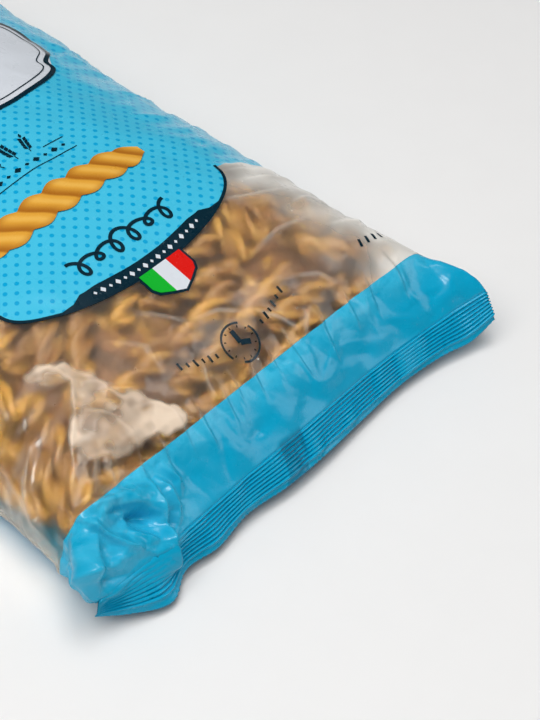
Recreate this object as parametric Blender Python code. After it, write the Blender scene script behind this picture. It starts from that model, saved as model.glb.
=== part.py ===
# Flow-wrapped pasta packet lying on its back: one closed solid, metres, +Z up.
# The film tube is pinched flat at both ends into crimped seals, and a fin seal runs along the underside.
import math

import bmesh
import bpy
import numpy as np

for old in list(bpy.data.objects):
    bpy.data.objects.remove(old, do_unlink=True)

# Driving dimensions in millimetres
MM = 0.001
FILM_LENGTH = 290.0        # film from lip to lip, measured over the top
SEAL_DEPTH = 13.0          # crimped strip at each end
PLAIN_LIP = 2.3            # the cut edge of a seal has no ridges
SEAL_HALF_WIDTH = 89.0
BODY_HALF_WIDTH = 82.2
CREST_HEIGHT = 57.5
SIDE_HEIGHT = 17.0         # height of the widest line of the body
WAVE_RUN = 44.0            # film length over which a seal's waves fade into the body
TURN_RUN = 30.0            # film length by which the sheets part straight up and down
TAIL_START = 190.0         # from here on, the crest is eased down to the far lip
CORNER_LIFT = 2.4        # rise of the body corners beside the seals
CORNER_SIDE = (62, 88)   # distances across over which that rise comes in
CORNER_RISE = (12, 18)   # distances from the lip over which it starts
CORNER_FADE = (20, 33)   # and over which it ends
HALF_FILM = 0.4            # half the thickness of the sealed, doubled film
RIDGES = 8                 # crimp ridges on a seal
RIDGE_HEIGHT = 0.35
TOP_FALL = 1.55            # how the section rounds off across the top
TOP_ROUND = 0.53
FLOOR_FALL = 6.0           # how sharply the underside curls up at the sides
FLOOR_ROUND = 0.45
BLEND = 6.0                # sharpness of the blend of end slope and cross-section
CROWN_GAIN = 1.10          # the blend rounds the crest down, and these two bring it back
RISE_GAIN = 0.15
SINK = 3.0                 # the underside is pressed flat where it would reach below the floor
UNDER_SLOPE = math.radians(52)
FIN_HALF_WIDTH = 6.0       # folded fin seal on the underside
FIN_STEP = 0.5
COLUMNS = 44
COLUMN_SPREAD = 0.94       # how far the columns crowd towards the sides, below 1

# Slope of the crest in degrees against film length
SLOPE = [(0, 49), (27, 47), (40, 38), (50, 26), (60, 17), (90, 14), (110, 10), (130, 4), (150, 0),
         (190, -3), (215, -14), (235, -30), (250, -45), (290, -47)]
# Half-width against film length
HALF_WIDTH = [(0, SEAL_HALF_WIDTH), (13, 89), (30, 86.5), (50, 83.8), (70, BODY_HALF_WIDTH),
              (150, BODY_HALF_WIDTH), (185, 83.5), (210, 86), (255, 88), (277, 89), (290, SEAL_HALF_WIDTH)]
# Waves of the front lip and of the seal's inner line: across, along, up
LIP = [(-89, 7.0, 6.5), (-80, 1.5, 4.5), (-66, -3.8, 3.2), (-57, 0.6, 4.2), (-42, 0, 3.8), (-27, 2, 4.6),
       (-10, 0, 5.4), (10, 0.3, 5.2), (28, 1.9, 4.4), (54, 2.7, 4.6), (70, 0.4, 5.4), (80, -2.4, 6),
       (89, -4.2, 10.5)]
CENTRE_LIP = LIP[6][2]
INNER = [(-89, 6, 15), (-76, 5.6, 15.6), (-60, 6.4, 14.2), (-45, 6.9, 14), (-20, 7.4, 14.8), (0, 7.6, 14.8),
         (20, 8.6, 14), (45, 9.6, 12.8), (66, 8.2, 13.4), (80, 5.0, 16.5), (89, 1.2, 20)]
# The far lip is hidden in the photo and gets a calmer wave
FAR_LIP = [(-89, -2, 7), (-62, 1.5, 4.5), (-30, -1, 4), (0, 0.5, 5), (34, -1.2, 4.2), (64, 1.2, 4.6),
           (89, -2.5, 8)]
# Creases of the film near the front corners: run of points, height, width
CREASES = [([(-68, 58), (-78, 43), (-84, 30)], 1.8, 3.0), ([(-80, 24), (-76, 13), (-69, 7)], 1.5, 3.0),
           ([(-72, 24), (-81, 14), (-87, 7)], 1.8, 3.2), ([(-50, 30), (-55, 14), (-61, 3)], 2.2, 3.4),
           ([(-30, 32), (-28, 16)], 1.0, 4.5), ([(8, 26), (13, 14)], 1.0, 4.0),
           ([(-6, 27), (0, 15)], -1.0, 4.5), ([(62, 22), (72, 10)], 1.3, 4.0),
           ([(-58, 30), (-62, 14)], -1.4, 4.0)]


def along(x, points, column=1):
    """Smooth curve through named points, by piecewise cubic Hermite."""
    px = np.array([p[0] for p in points], float)
    py = np.array([p[column] for p in points], float)
    slope = np.gradient(py, px)
    x = np.clip(x, px[0], px[-1])
    k = np.clip(np.searchsorted(px, x) - 1, 0, len(px) - 2)
    h = px[k + 1] - px[k]
    t = (x - px[k]) / h
    return (py[k] * (2 * t**3 - 3 * t**2 + 1) + slope[k] * h * (t**3 - 2 * t**2 + t)
            + py[k + 1] * (3 * t**2 - 2 * t**3) + slope[k + 1] * h * (t**3 - t**2))


def ease(x, low, high):
    t = np.clip((x - low) / (high - low), 0, 1)
    return t * t * (3 - 2 * t)


def crest_line():
    """Distance along the table and height of the crest, against film length."""
    film = np.linspace(0, FILM_LENGTH, 1161)
    angle = np.radians(np.interp(film, *zip(*SLOPE)))
    step = film[1] - film[0]
    reach = np.concatenate([[0], np.cumsum(np.cos(angle[1:]) * step)])
    height = np.concatenate([[0], np.cumsum(np.sin(angle[1:]) * step)])
    height *= CREST_HEIGHT / (height.max() + CENTRE_LIP)
    height += CENTRE_LIP - (height[-1] * ease(film, TAIL_START, FILM_LENGTH))
    return film, reach, height


def smaller(a, b):
    """Rounded minimum that is exact where either is zero."""
    a, b = np.maximum(a, 1e-6), np.maximum(b, 1e-6)
    return (a**-BLEND + b**-BLEND) ** (-1 / BLEND)


def crease_height(x, y):
    total = np.zeros(np.broadcast(x, y).shape)
    for run, height, width in CREASES:
        near = np.full(total.shape, 1e9)
        for (ax, ay), (bx, by) in zip(run, run[1:]):
            dx, dy = bx - ax, by - ay
            t = np.clip(((x - ax) * dx + (y - ay) * dy) / (dx * dx + dy * dy), 0, 1)
            near = np.minimum(near, np.hypot(x - ax - t * dx, y - ay - t * dy))
        total += height * np.exp(-(near / width) ** 2)
    return total


def seal_row(fraction, x, far):
    """Middle of the crimped strip, fraction 0 at the lip and 1 at the inner line, and its upward normal."""
    lip = FAR_LIP if far else LIP
    ends = [np.array([along(x, line, 1), along(x, line, 2)]) for line in (lip, INNER)]
    run = ends[1] - ends[0]
    normal = np.array([-run[1], run[0]]) / np.hypot(*run)
    return ends[0] * (1 - fraction) + ends[1] * fraction, normal


def film_rows():
    """Rows of the mesh: two to a ridge, close where the ends curve, and wide over the body."""
    ridges = np.linspace(PLAIN_LIP, SEAL_DEPTH, 2 * RIDGES + 1)
    seal = np.concatenate([[0], ridges])
    front = np.arange(SEAL_DEPTH + 3.5, 62, 3.9)
    middle = np.linspace(66, 222, 16)
    back = np.arange(228, FILM_LENGTH - SEAL_DEPTH - 2, 5.0)
    return np.concatenate([seal, front, middle, back, FILM_LENGTH - seal[::-1]])


def sheets():
    """Top and bottom sheet of the packet as grids of points, rows along the film and columns across."""
    film, reach, height = crest_line()
    length = reach[-1]
    quarter = math.pi / 2 * COLUMN_SPREAD
    across = np.sin(np.linspace(-1, 1, COLUMNS) * quarter) / math.sin(quarter)
    top, bottom = [], []
    for run in film_rows():
        half = float(np.interp(run, *zip(*HALF_WIDTH)))
        x = across * half
        edge = min(run, FILM_LENGTH - run)
        far = run > FILM_LENGTH / 2
        y0 = float(np.interp(run, film, reach))
        if far:
            y0 = length - y0
        on_seal = edge <= SEAL_DEPTH + 1e-6
        (y, z), normal = seal_row(min(edge / SEAL_DEPTH, 1), x, far)
        upward = ease(edge, SEAL_DEPTH, TURN_RUN)
        normal = normal * (1 - upward) + np.array([[0], [1]]) * upward
        normal /= np.hypot(*normal)
        fin = FIN_STEP * (np.abs(x) < FIN_HALF_WIDTH)
        rise = drop = np.zeros_like(x)
        if on_seal:
            turns = max(edge - PLAIN_LIP, 0) / (SEAL_DEPTH - PLAIN_LIP) * RIDGES
            ridge = RIDGE_HEIGHT * math.cos(turns * 2 * math.pi)
            y, z = y + ridge * normal[0], z + ridge * normal[1]
        else:
            fade = 1 - ease(edge, SEAL_DEPTH, WAVE_RUN)
            start = float(np.interp(SEAL_DEPTH, film, reach))
            y = y0 + (y - start) * fade
            z = z * fade + SIDE_HEIGHT * (1 - fade)
            centre = float(along(np.array(0.0), INNER, 2)) * fade + SIDE_HEIGHT * (1 - fade)
            climb = max(float(np.interp(run, film, height)) - centre, 0)
            crown = CREST_HEIGHT - SIDE_HEIGHT
            climb *= 1 + RISE_GAIN * (climb / crown) ** 4
            section = crown * CROWN_GAIN * (1 - np.abs(across) ** TOP_FALL) ** TOP_ROUND
            rise = smaller(climb, section)
            sink = min((y0 - start) * math.tan(UNDER_SLOPE), centre + SINK)
            curl = (centre + SINK) * CROWN_GAIN * (1 - np.abs(across) ** FLOOR_FALL) ** FLOOR_ROUND
            drop = smaller(sink, curl)
            if not far:
                rise = rise + crease_height(x, y) * ease(edge, SEAL_DEPTH, 20) * (1 - np.abs(across) ** 8)
                swell = ease(edge, *CORNER_RISE) * (1 - ease(edge, *CORNER_FADE))
                z = z + CORNER_LIFT * ease(x, *CORNER_SIDE) * swell
        up = np.array([y, z + rise]) + normal * HALF_FILM
        low = np.array([y, z - drop]) - normal * (HALF_FILM + fin)
        low[1] = np.maximum(low[1], 0)
        for sheet, (sy, sz) in ((top, up), (bottom, low)):
            sheet.append(np.stack([x, length - sy if far else sy, sz], -1))
    return np.array(top), np.array(bottom)


def packet_mesh():
    top, bottom = sheets()
    rows, columns = top.shape[:2]
    points = np.concatenate([top.reshape(-1, 3), bottom.reshape(-1, 3)])
    low, high = points.min(0), points.max(0)
    points -= [(low[0] + high[0]) / 2, (low[1] + high[1]) / 2, low[2]]
    mesh = bmesh.new()
    verts = [mesh.verts.new(p * MM) for p in points]
    under = rows * columns
    for r in range(rows - 1):
        for c in range(columns - 1):
            a, b = r * columns + c, (r + 1) * columns + c
            mesh.faces.new([verts[a], verts[a + 1], verts[b + 1], verts[b]])
            mesh.faces.new([verts[under + a], verts[under + b], verts[under + b + 1], verts[under + a + 1]])
        for c, flip in ((0, True), (columns - 1, False)):
            a, b = r * columns + c, (r + 1) * columns + c
            quad = [verts[a], verts[under + a], verts[under + b], verts[b]]
            mesh.faces.new(quad[::-1] if flip else quad)
    for r, flip in ((0, False), (rows - 1, True)):
        for c in range(columns - 1):
            a = r * columns + c
            quad = [verts[a], verts[under + a], verts[under + a + 1], verts[a + 1]]
            mesh.faces.new(quad[::-1] if flip else quad)
    flat = [f for f in mesh.faces if all(v.co.z < 1e-7 for v in f.verts)]
    bmesh.ops.dissolve_faces(mesh, faces=flat, use_verts=True)
    bmesh.ops.recalc_face_normals(mesh, faces=mesh.faces)
    data = bpy.data.meshes.new("packet")
    mesh.to_mesh(data)
    mesh.free()
    return data


def film_material():
    material = bpy.data.materials.new("printed_film")
    material.use_nodes = True
    shader = material.node_tree.nodes["Principled BSDF"]
    shader.inputs["Base Color"].default_value = (0.09, 0.45, 0.68, 1)
    shader.inputs["Roughness"].default_value = 0.3
    return material


packet = bpy.data.objects.new("packet", packet_mesh())
packet.data.materials.append(film_material())
bpy.context.collection.objects.link(packet)
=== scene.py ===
import math
import random

import bmesh
import bpy
import numpy as np
from mathutils import Matrix, Vector
from mathutils.kdtree import KDTree


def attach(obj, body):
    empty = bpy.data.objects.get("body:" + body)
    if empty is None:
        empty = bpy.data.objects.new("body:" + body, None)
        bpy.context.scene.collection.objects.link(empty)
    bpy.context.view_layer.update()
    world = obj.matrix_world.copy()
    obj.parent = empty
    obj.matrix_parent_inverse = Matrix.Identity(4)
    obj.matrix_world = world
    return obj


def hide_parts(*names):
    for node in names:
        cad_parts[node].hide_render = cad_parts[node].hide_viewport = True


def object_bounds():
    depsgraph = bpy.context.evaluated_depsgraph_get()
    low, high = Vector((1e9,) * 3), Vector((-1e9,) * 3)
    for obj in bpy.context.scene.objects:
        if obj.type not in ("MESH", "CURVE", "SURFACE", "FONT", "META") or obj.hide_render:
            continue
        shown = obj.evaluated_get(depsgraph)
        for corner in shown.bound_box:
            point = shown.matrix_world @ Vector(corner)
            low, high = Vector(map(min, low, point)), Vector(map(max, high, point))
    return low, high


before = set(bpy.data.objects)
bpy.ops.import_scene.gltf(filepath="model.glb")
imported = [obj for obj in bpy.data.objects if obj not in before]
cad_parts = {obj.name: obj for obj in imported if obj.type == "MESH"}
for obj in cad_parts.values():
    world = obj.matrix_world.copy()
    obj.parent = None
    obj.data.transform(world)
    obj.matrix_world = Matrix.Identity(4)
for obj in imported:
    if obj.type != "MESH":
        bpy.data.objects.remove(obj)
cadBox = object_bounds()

mm = 0.001
scene = bpy.context.scene

# film tube: the same sizes as the solid, with a thinner seal and finer folds
packShape = {
    "filmLength": 290.0, "sealDepth": 13.0, "plainLip": 2.3, "ridges": 8, "ridgeHeight": 0.85,
    "crestHeight": 57.5, "sideHeight": 17.0, "halfFilm": 0.14,
    "topFall": 1.55, "topRound": 0.53, "floorFall": 6.0, "floorRound": 0.45, "blend": 6.0,
    "crownGain": 1.10, "riseGain": 0.15, "sink": 3.0, "underSlope": 52.0,
    "ridgePower": 1.4, "ridgeBase": 0.4, "sealTurn": 30, "sealFade": 44, "samples": 321, "floorGap": 0.02,
    "solidHalf": 0.4, "solidRidge": 0.35,   # thickness and ridge of the solid at its lip
    "cornerLift": 2.4,          # the body corners beside the seals stand up
    "cornerSide": (62, 88), "cornerRise": (12, 18), "cornerFade": (20, 33),
    "slope": [(0, 49), (27, 47), (40, 38), (50, 26), (60, 17), (90, 14), (110, 10), (130, 4), (150, 0),
              (190, -3), (215, -14), (235, -30), (250, -45), (290, -47)],
    "halfWidth": [(0, 89), (13, 89), (30, 86.5), (50, 83.8), (70, 82.2), (150, 82.2), (185, 83.5),
                  (210, 86), (255, 88), (277, 89), (290, 89)],
    "lip": [(-89, 7, 6.5), (-80, 1.5, 4.5), (-66, -3.8, 3.2), (-57, 0.6, 4.2), (-42, 0, 3.8),
            (-27, 2, 4.6), (-10, 0, 5.4), (10, 0.3, 5.2), (28, 1.9, 4.4), (54, 2.7, 4.6),
            (70, 0.4, 5.4), (80, -2.4, 6), (89, -4.2, 10.5)],
    "inner": [(-89, 6, 15), (-76, 5.6, 15.6), (-60, 6.4, 14.2), (-45, 6.9, 14), (-20, 7.4, 14.8),
              (0, 7.6, 14.8), (20, 8.6, 14), (45, 9.6, 12.8), (66, 8.2, 13.4), (80, 5, 16.5),
              (89, 1.2, 20)],
    "farLip": [(-89, -2, 7), (-62, 1.5, 4.5), (-30, -1, 4), (0, 0.5, 5), (34, -1.2, 4.2),
               (64, 1.2, 4.6), (89, -2.5, 8)],
}


def along(x, points, column=1):
    px = np.array([p[0] for p in points], float)
    py = np.array([p[column] for p in points], float)
    slope = np.gradient(py, px)
    x = np.clip(x, px[0], px[-1])
    k = np.clip(np.searchsorted(px, x) - 1, 0, len(px) - 2)
    h = px[k + 1] - px[k]
    t = (x - px[k]) / h
    return (py[k] * (2 * t**3 - 3 * t**2 + 1) + slope[k] * h * (t**3 - 2 * t**2 + t)
            + py[k + 1] * (3 * t**2 - 2 * t**3) + slope[k + 1] * h * (t**3 - t**2))


def ease(x, low, high):
    t = np.clip((np.asarray(x, float) - low) / (high - low), 0, 1)
    return t * t * (3 - 2 * t)


def crestLine():
    p = packShape
    film = np.linspace(0, p["filmLength"], 1161)
    angle = np.radians(np.interp(film, *zip(*p["slope"])))
    step = film[1] - film[0]
    reach = np.concatenate([[0], np.cumsum(np.cos(angle[1:]) * step)])
    height = np.concatenate([[0], np.cumsum(np.sin(angle[1:]) * step)])
    lipHeight = p["lip"][6][2]
    height *= p["crestHeight"] / (height.max() + lipHeight)
    height += lipHeight - height[-1] * ease(film, 190, p["filmLength"])
    return film, reach, height


def smaller(a, b):
    a, b, n = np.maximum(a, 1e-6), np.maximum(b, 1e-6), packShape["blend"]
    return (a**-n + b**-n) ** (-1 / n)


def sealStrip(fraction, x, far):
    p = packShape
    ends = [np.array([along(x, line, 1), along(x, line, 2)])
            for line in (p["farLip"] if far else p["lip"], p["inner"])]
    run = ends[1] - ends[0]
    return ends[0] * (1 - fraction) + ends[1] * fraction, np.array([-run[1], run[0]]) / np.hypot(*run)


def lipStart():
    # where the solid's lip reaches lowest along Y, before the packet is centred
    p = packShape
    x = np.linspace(-89, 89, 400)
    (y, z), normal = sealStrip(0, x, False)
    return float(np.min(y + (p["solidRidge"] + p["solidHalf"]) * normal[0]))


packShift = cadBox[0][1] / mm - lipStart()   # start of the crest line along Y, in mm


def filmSection(run, line):
    # upper and lower film at one distance along the tube, as dense curves from the -X side to the +X side
    p = packShape
    film, reach, height = line
    across = np.sin(np.linspace(-1, 1, p["samples"]) * math.pi / 2)
    half = float(np.interp(run, *zip(*p["halfWidth"])))
    x = across * half
    edge, far = min(run, p["filmLength"] - run), run > p["filmLength"] / 2
    y0 = float(np.interp(run, film, reach))
    y0 = reach[-1] - y0 if far else y0
    (y, z), normal = sealStrip(min(edge / p["sealDepth"], 1), x, far)
    upward = ease(edge, p["sealDepth"], p["sealTurn"])
    normal = normal * (1 - upward) + np.array([[0], [1]]) * upward
    normal /= np.hypot(*normal)
    rise = drop = np.zeros_like(x)
    if edge < p["sealDepth"]:
        turn = np.clip((edge - p["plainLip"]) / (p["sealDepth"] - p["plainLip"]), 0, 1) * p["ridges"]
        ridge = p["ridgeHeight"] * (abs(math.sin(turn * math.pi)) ** p["ridgePower"] - p["ridgeBase"])
        y, z = y + ridge * normal[0], z + ridge * normal[1]
    else:
        fade = 1 - ease(edge, p["sealDepth"], p["sealFade"])
        start = float(np.interp(p["sealDepth"], film, reach))
        y = y0 + (y - start) * fade
        z = z * fade + p["sideHeight"] * (1 - fade)
        centre = float(along(np.array(0.0), p["inner"], 2)) * fade + p["sideHeight"] * (1 - fade)
        crown = p["crestHeight"] - p["sideHeight"]
        climb = max(float(np.interp(run, film, height)) - centre, 0)
        climb *= 1 + p["riseGain"] * (climb / crown) ** 4
        section = crown * p["crownGain"] * (1 - np.abs(across) ** p["topFall"]) ** p["topRound"]
        sink = min((y0 - start) * math.tan(math.radians(p["underSlope"])), centre + p["sink"])
        curl = (centre + p["sink"]) * p["crownGain"]
        curl = curl * (1 - np.abs(across) ** p["floorFall"]) ** p["floorRound"]
        rise, drop = smaller(climb, section), smaller(sink, curl)
    up = np.array([y, z + rise]) + normal * p["halfFilm"]
    low = np.array([y, z - drop]) - normal * p["halfFilm"]
    if not far:
        lift = p["cornerLift"] * ease(x, *p["cornerSide"])
        lift = lift * (1 - ease(edge, *p["cornerFade"])) * ease(edge, *p["cornerRise"])
        up[1], low[1] = up[1] + lift, low[1] + lift
    low[1] = np.maximum(low[1], p["floorGap"])
    flip = (lambda v: reach[-1] - v) if far else (lambda v: v)
    return [np.stack([x, flip(side[0]) + packShift, side[1]], -1) for side in (up, low)]


def evenPoints(curve, count):
    # points at equal distances along a curve, and that distance from its middle
    length = np.concatenate([[0], np.cumsum(np.linalg.norm(np.diff(curve, axis=0), axis=1))])
    want = np.linspace(0, length[-1], count)
    return np.stack([np.interp(want, length, curve[:, k]) for k in range(3)], -1), want, length[-1]


# where the film changes colour, in film millimetres: s across from the crest, l along from the front lip
printLayout = {
    "bandTop": 35.0, "fieldEdge": 101.0, "farBand": 262.0, "backStart": 11.0,
    "shieldCentre": 1.0, "shieldHalf": 49.5, "shieldDrop": 21.0, "shieldFoot": 81.0, "snap": 0.28,
}

# creases of the film: path in (s, l), height, reach on the left and right of the path's direction
foldList = {
    "nearCorner": [
        ([(-72, 67), (-76, 62), (-84, 57), (-90, 50), (-92, 37)], 1.6, 1.6, 3.6),
        ([(-79.5, 37), (-77, 28), (-74, 21), (-70, 16)], 2.4, 4.5, 0.9),
        ([(-78, 29), (-82, 25), (-88, 19), (-93, 13)], 2.2, 1.2, 3.6),
        ([(-79.5, 36), (-68, 33.5), (-60, 31.5), (-53.5, 29.5)], 2.2, 1, 3.6),
        ([(-52, 32), (-55, 24.5), (-58, 19), (-61, 13), (-62, 4)], 3.6, 0.7, 7),
        ([(-50, 31), (-48.5, 26), (-50, 20), (-54, 15)], 2, 1, 3.2),
        ([(-67, 27), (-62, 24), (-58, 21)], -2.4, 2.2, 2),
        ([(-73, 31), (-66, 29), (-62, 27)], -1.4, 1.6, 1.6),
        ([(-70, 24), (-66, 19), (-64, 16)], 1.6, 0.9, 2.6),
        ([(-83, 34), (-84, 28), (-86, 22), (-88, 17)], 1.5, 1, 2.2),
        ([(-90, 32), (-89, 25), (-92, 20)], 1.2, 1, 2.2),
        ([(-62, 46), (-68, 40), (-71, 36)], 1, 1, 2.4),
        ([(-58, 44), (-62, 40), (-63, 35)], 0.9, 0.8, 2.4),
        ([(-57, 37), (-63, 35), (-70, 36)], 1, 1, 2),
        ([(-46, 33), (-44, 26), (-47, 20)], 1.3, 1.4, 2.6),
    ],
    "bandPleats": [
        ([(18, 20), (16.5, 27), (15, 36)], 1.1, 2.6, 0.8),
        ([(18, 20), (26, 24), (31, 26), (36, 34)], 1.3, 0.9, 3),
        ([(24, 36), (22, 29), (19, 22)], 0.9, 1.2, 2.2),
        ([(-26, 38), (-26, 29), (-28, 22)], 1, 0.8, 3.6),
        ([(-14, 38), (-14.5, 29), (-17, 23)], 0.9, 0.9, 3),
        ([(-9.5, 38), (-10, 30), (-12, 24)], 0.6, 0.8, 2.4),
        ([(-1, 38), (-1, 30), (-3, 24)], 0.9, 0.8, 3), ([(-38, 38), (-40, 28), (-43, 20)], 1.3, 1.2, 4),
        ([(52, 38), (51, 28), (49, 20)], 0.9, 1, 3.4), ([(43, 37), (44, 30), (46, 24)], 0.7, 0.9, 2.4),
        ([(62, 36), (66, 26), (74, 18)], 0.8, 3, 2), ([(80, 14), (82, 20), (78, 30)], 1.1, 1.2, 4),
        ([(6, 37), (7, 31), (6, 25)], 0.6, 0.8, 2.2),
    ],
    "window": [
        ([(-51, 79), (-50.5, 68), (-57, 60), (-64, 54), (-70.5, 47)], 1.3, 0.6, 4.2),
        ([(-58, 79), (-52, 77), (-46.5, 75)], 0.7, 0.8, 1.6),
        ([(-50.5, 68), (-44, 62), (-40, 56)], 0.8, 0.7, 2.4),
        ([(-31, 39), (-36, 47), (-44, 50)], 1, 0.8, 2),
        ([(-56, 60), (-50, 52), (-47, 42)], 0.8, 0.8, 2.2),
        ([(-18, 75), (-17, 72), (-10.5, 65), (-6, 60)], 0.8, 0.6, 1.8),
        ([(-6, 60), (4, 58), (12, 52)], 0.6, 0.8, 1.8), ([(14, 52), (20, 44), (23, 38)], 0.9, 0.7, 2.2),
        ([(-12, 50), (-16, 43), (-18, 37)], 0.8, 0.7, 2.2),
        ([(30, 42), (26, 38), (24, 34)], 0.8, 0.7, 2), ([(36, 88), (50, 84), (64, 82)], 0.7, 0.8, 1.6),
        ([(30, 66), (44, 68), (58, 66)], 0.5, 0.7, 1.6),
        ([(52, 98), (64, 96), (80, 97)], 0.8, 0.7, 1.4),
        ([(52, 92), (66, 90), (82, 90)], 0.7, 0.7, 1.4),
        ([(34, 52), (42, 48), (46, 42)], 0.5, 0.7, 1.6),
        ([(-30, 70), (-24, 62), (-26, 54)], 0.5, 0.7, 1.6),
        ([(48, 104), (58, 100), (70, 102)], 0.7, 0.7, 1.6),
        ([(60, 60), (72, 58), (84, 60)], 0.6, 0.7, 1.8),
        ([(56, 74), (70, 76), (86, 73)], 0.6, 0.7, 1.8),
        ([(-84, 74), (-86, 62), (-88, 54)], 0.8, 0.7, 2.4),
        ([(-64, 96), (-70, 84), (-72, 74)], 0.5, 0.7, 2),
    ],
    "field": [
        ([(58, 112), (72, 116), (88, 114)], 0.7, 1, 2.2),
        ([(62, 124), (76, 130), (90, 128)], 0.8, 1, 2.4),
        ([(50, 140), (66, 136), (88, 142)], 0.7, 1, 2.4),
        ([(64, 158), (78, 152), (92, 156)], 0.8, 1, 2.4),
        ([(60, 182), (78, 188), (92, 184)], 0.8, 1, 2.4),
        ([(-60, 120), (-76, 124), (-92, 120)], 0.8, 1, 2.4),
        ([(-64, 150), (-78, 146), (-92, 152)], 0.8, 1, 2.4),
        ([(-58, 186), (-76, 192), (-92, 188)], 0.8, 1.2, 2.6),
        ([(-50, 222), (-58, 240), (-66, 262)], 1.3, 1.4, 3),
        ([(20, 236), (16, 250), (18, 268)], 1.1, 1.4, 3),
        ([(50, 230), (60, 246), (70, 264)], 1.3, 1.4, 3),
        ([(-16, 238), (-20, 250), (-18, 266)], 1, 1.4, 3),
        ([(38, 246), (34, 256), (36, 270)], 0.9, 1, 2.4),
        ([(-36, 246), (-38, 258), (-34, 270)], 0.9, 1, 2.4),
    ],
}

# share of a crease that tapers off at each end, rounding of its top, and width of its white line
foldShape = {"taper": 0.35, "soft": 0.4, "line": 0.8}
foldGain = {"nearCorner": 1.9, "bandPleats": 0.35, "window": 1.0, "field": 1.0}
crumple = {
    "lumpSize": 17.0, "lump": 0.5, "smallSize": 8.0, "small": 0.26, "creaseSize": 11.0, "crease": 0.5,
    "rippleSize": 8.5, "ripple": 0.4, "looseGain": 0.9, "warp": 2.5, "warpSize": 13,
    "facets": ((12.0, 2.5, 61), (6.5, 1.3, 62), (3.6, 0.4, 63)),   # size, height, seed
    "facetsBand": 0.24, "facetsLoose": 0.32, "buckleSize": 6.0, "buckle": 0.45, "looseEdge": 4.5,
    # where each region of the film fades in or out: from a lip, from the crest line, past the side line
    "body": (12, 22), "band": (30, 44), "slope": (48, 74), "under": (4, 14), "underFlat": 0.85,
    "sealIn": (0, 3), "sealOut": (11, 15), "rippleIn": (40, 70), "foldIn": (3, 9),
    "cornerAcross": (46, 60), "cornerIn": (8, 15), "cornerOut": (33, 42),
}
# pleats that open from a point in the band to its border: place s, half width there, point l, height
bandTents = [(-44, 5.5, 20, 1.3), (-34, 3.5, 26, 0.7), (-26, 4.5, 24, 1.1), (-14.5, 4, 26, 0.9),
             (-8.5, 2.5, 28, 0.6), (-1, 4, 26, 0.9), (8, 3, 27, 0.6), (17, 2.5, 21, 0.8),
             (30, 8, 20, 1.4), (44, 5, 24, 0.9), (54, 5, 23, 1), (66, 6, 22, 1.1)]
# slack patch of the window that stands off the pasta: its outline in (s, l)
looseFilm = {"outline": [(-58, 79), (-46, 75), (-44, 62), (-37, 52), (-30, 39), (-34, 36), (-48, 38),
                         (-60, 42), (-71, 46), (-64, 55), (-51, 68)], "lift": 0.7, "ragged": 2.2}


noiseTable, noiseShift = 97, 300


def noiseCells(x, y, size, seed):
    # random heights at the corners of square cells, and each point's place in its cell
    table = np.random.default_rng(seed).uniform(-1, 1, (noiseTable, noiseTable))
    u, v = x / size + noiseShift, y / size + noiseShift
    i, j = np.floor(u).astype(int), np.floor(v).astype(int)
    corners = [[table[(i + a) % noiseTable, (j + b) % noiseTable] for b in (0, 1)] for a in (0, 1)]
    return corners, u - i, v - j


def softNoise(x, y, size, seed):
    ((near, over), (right, far)), fu, fv = noiseCells(x, y, size, seed)
    fu, fv = fu**3 * (fu * (fu * 6 - 15) + 10), fv**3 * (fv * (fv * 6 - 15) + 10)
    return (near * (1 - fu) + right * fu) * (1 - fv) + (over * (1 - fu) + far * fu) * fv


def facetNoise(x, y, size, seed):
    # the same corners joined by flat triangles, for crumpled film
    ((near, over), (right, far)), fu, fv = noiseCells(x, y, size, seed)
    return np.where(fu + fv < 1, near + fu * (right - near) + fv * (over - near),
                    far + (1 - fu) * (over - far) + (1 - fv) * (right - far))


def foldProfile(s, l, fold):
    # height of one crease, and how near its line is
    path, height, leftReach, rightReach = fold
    best = np.full(s.shape, 1e9)
    offset, travel = np.zeros(s.shape), np.zeros(s.shape)
    done = 0.0
    for (ax, ay), (bx, by) in zip(path, path[1:]):
        length = math.dist((ax, ay), (bx, by))
        dx, dy = (bx - ax) / length, (by - ay) / length
        inside = np.clip((s - ax) * dx + (l - ay) * dy, 0, length)
        away = np.hypot(s - ax - inside * dx, l - ay - inside * dy)
        side = np.where((s - ax) * dy - (l - ay) * dx > 0, -1.0, 1.0)
        closer = away < best
        best = np.where(closer, away, best)
        offset = np.where(closer, away * side, offset)
        travel = np.where(closer, done + inside, travel)
        done += length
    reach = np.where(offset > 0, leftReach, rightReach)
    taper = np.clip(np.minimum(travel, done - travel) / (foldShape["taper"] * done), 0.08, 1) ** 0.7
    soft = foldShape["soft"]
    ridge = height * taper * np.exp(-(np.sqrt(best**2 + soft**2) - soft) / reach)
    return ridge, taper * np.exp(-(best / foldShape["line"]) ** 2)


def looseMask(s, l, soft):
    # 1 inside the slack patch, with a ragged edge
    loop = looseFilm["outline"]
    away, inside = np.full(s.shape, 1e9), np.zeros(s.shape, bool)
    for (ax, ay), (bx, by) in zip(loop, loop[1:] + loop[:1]):
        dx, dy = bx - ax, by - ay
        t = np.clip(((s - ax) * dx + (l - ay) * dy) / (dx * dx + dy * dy), 0, 1)
        away = np.minimum(away, np.hypot(s - ax - t * dx, l - ay - t * dy))
        crosses = (ay > l) != (by > l)
        inside ^= crosses & (s < dx * (l - ay) / (dy if abs(dy) > 1e-9 else 1e-9) + ax)
    ragged = looseFilm["ragged"] * (softNoise(s, l, 8, 31) + 0.6 * softNoise(s, l, 3.5, 32))
    return ease(np.where(inside, away, -away) + ragged, -soft, soft + 0.6)


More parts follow.
